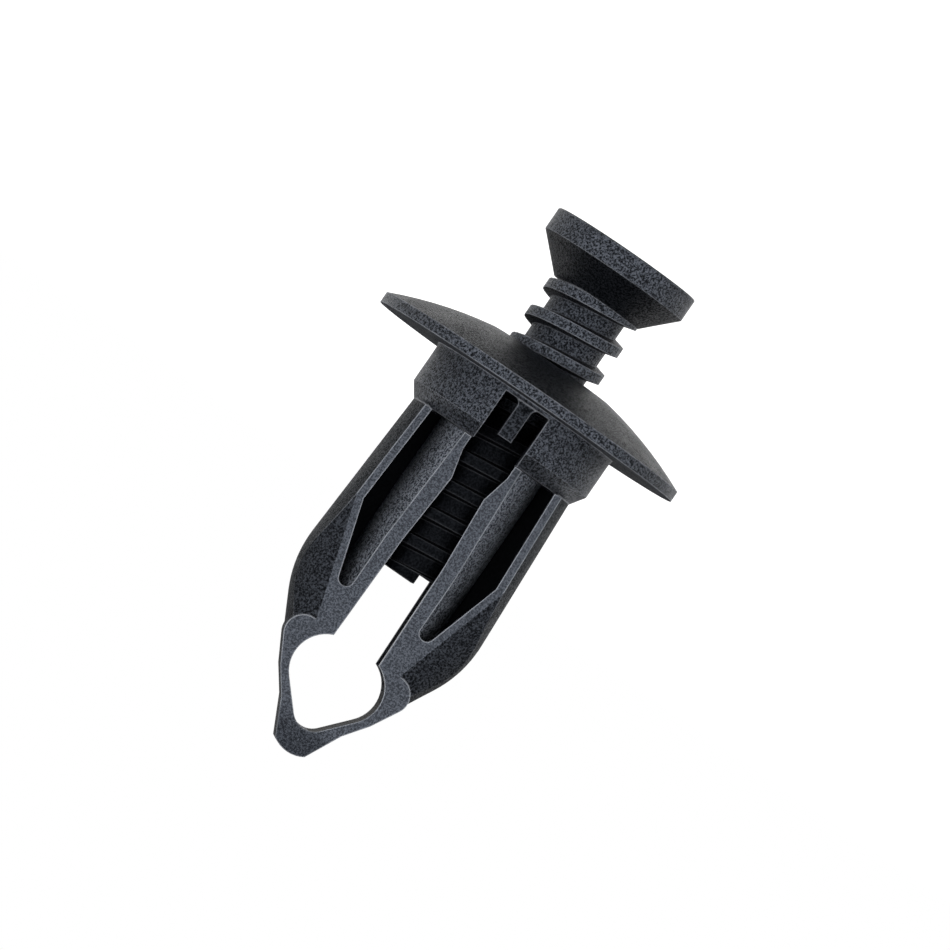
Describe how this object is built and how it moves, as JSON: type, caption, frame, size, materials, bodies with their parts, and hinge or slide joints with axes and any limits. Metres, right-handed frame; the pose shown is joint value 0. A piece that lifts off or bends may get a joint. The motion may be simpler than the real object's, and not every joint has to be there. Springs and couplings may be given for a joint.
{
  "type": "bumper clip",
  "caption": "Push-in bumper clip: a domed plastic grommet with split, pocketed legs and a cross-recess screw that is pressed home to lock it.",
  "frame": {"origin": "centre of the flat top of the screw's head, on which the clip stands", "axes": "+Z along the clip from the screw's head to the tip, X from leg to leg, the open faces of the legs look along -Y and +Y"},
  "size_m": [0.02, 0.02, 0.0341],
  "materials": {
    "grommet": "black nylon with a fine spark-eroded grain",
    "screw": "black nylon, a little smoother than the grommet"
  },
  "bodies": {
    "grommet": {"grommet": "grommet"},
    "screw": {"screw": "screw"}
  },
  "joints": [
    {"name": "screw_push", "type": "slide", "parent": "grommet", "child": "screw", "axis": [0, 0, 1], "range_m": [0, 0.0056]}
  ]
}
